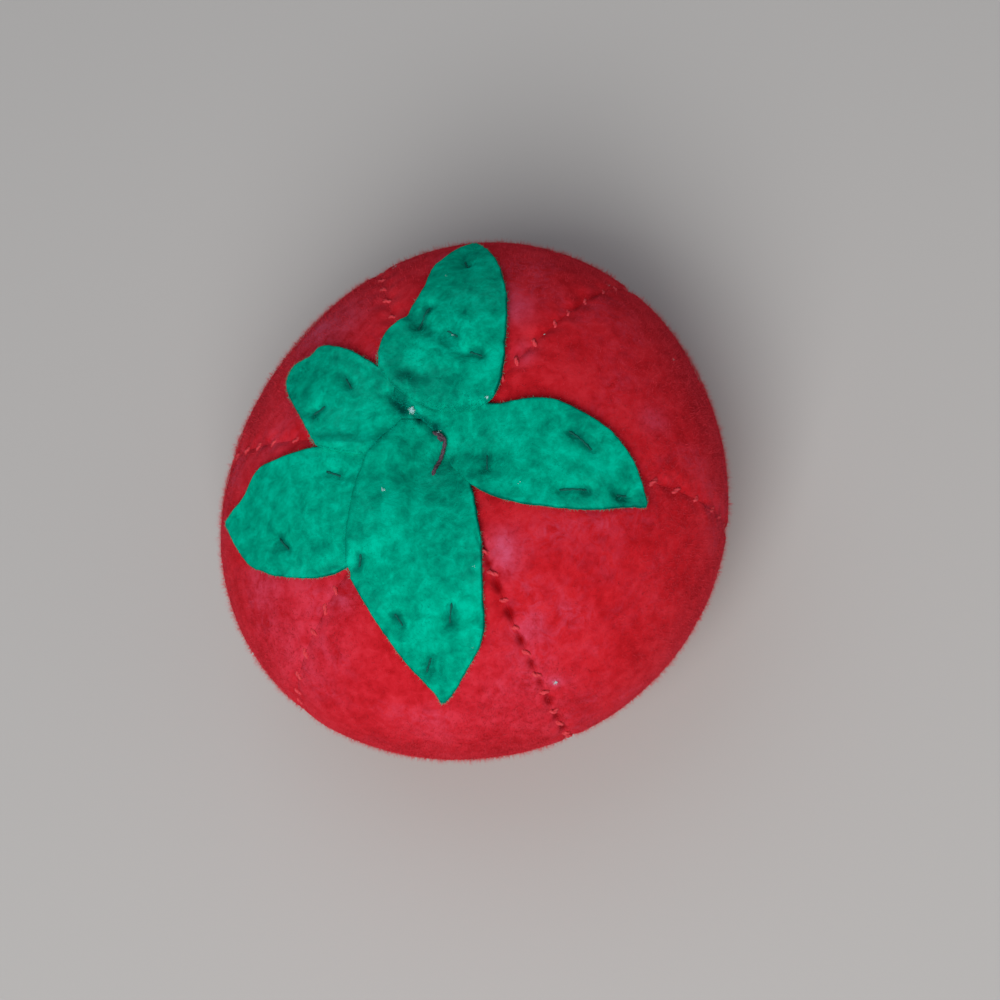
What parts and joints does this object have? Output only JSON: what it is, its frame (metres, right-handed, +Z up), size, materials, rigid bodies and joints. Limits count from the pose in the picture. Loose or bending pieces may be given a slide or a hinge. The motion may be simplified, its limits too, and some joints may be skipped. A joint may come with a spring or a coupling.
{
  "type": "tomato pincushion",
  "caption": "Squat stuffed felt tomato pincushion sewn from red gores, with overlapping hand-cut green felt leaves stitched over the gathered crown.",
  "frame": {"origin": "middle of the resting base, at table height, centred on the plan's bounding box", "axes": "+Z up through the gathered crown; -Y towards the viewer of the longest lower leaf; +X to the right"},
  "size_m": [0.0706, 0.0694, 0.0459],
  "materials": {
    "red_felt": "matte brushed felt with short loose fuzz",
    "green_felt": "matte craft felt with hand-cut edges",
    "red_thread": "twisted sewing thread",
    "green_thread": "twisted sewing thread",
    "brown_thread": "twisted sewing thread",
    "fibrefill": "loose polyester fibre"
  },
  "bodies": {
    "root": {"gore_1": "red_felt", "gore_2": "red_felt", "gore_3": "red_felt", "gore_4": "red_felt", "gore_5": "red_felt", "gore_6": "red_felt", "seam_thread_1": "red_thread", "seam_thread_2": "red_thread", "seam_thread_3": "red_thread", "seam_thread_4": "red_thread", "seam_thread_5": "red_thread", "seam_thread_6": "red_thread", "stuffing": "fibrefill", "leaf_top": "green_felt", "leaf_upper_left": "green_felt", "leaf_left": "green_felt", "leaf_bottom": "green_felt", "leaf_right": "green_felt", "leaf_thread_top": "green_thread", "leaf_thread_upper_left": "green_thread", "leaf_thread_left": "green_thread", "leaf_thread_bottom": "green_thread", "leaf_thread_right": "green_thread", "tuft_thread": "brown_thread"}
  },
  "joints": []
}
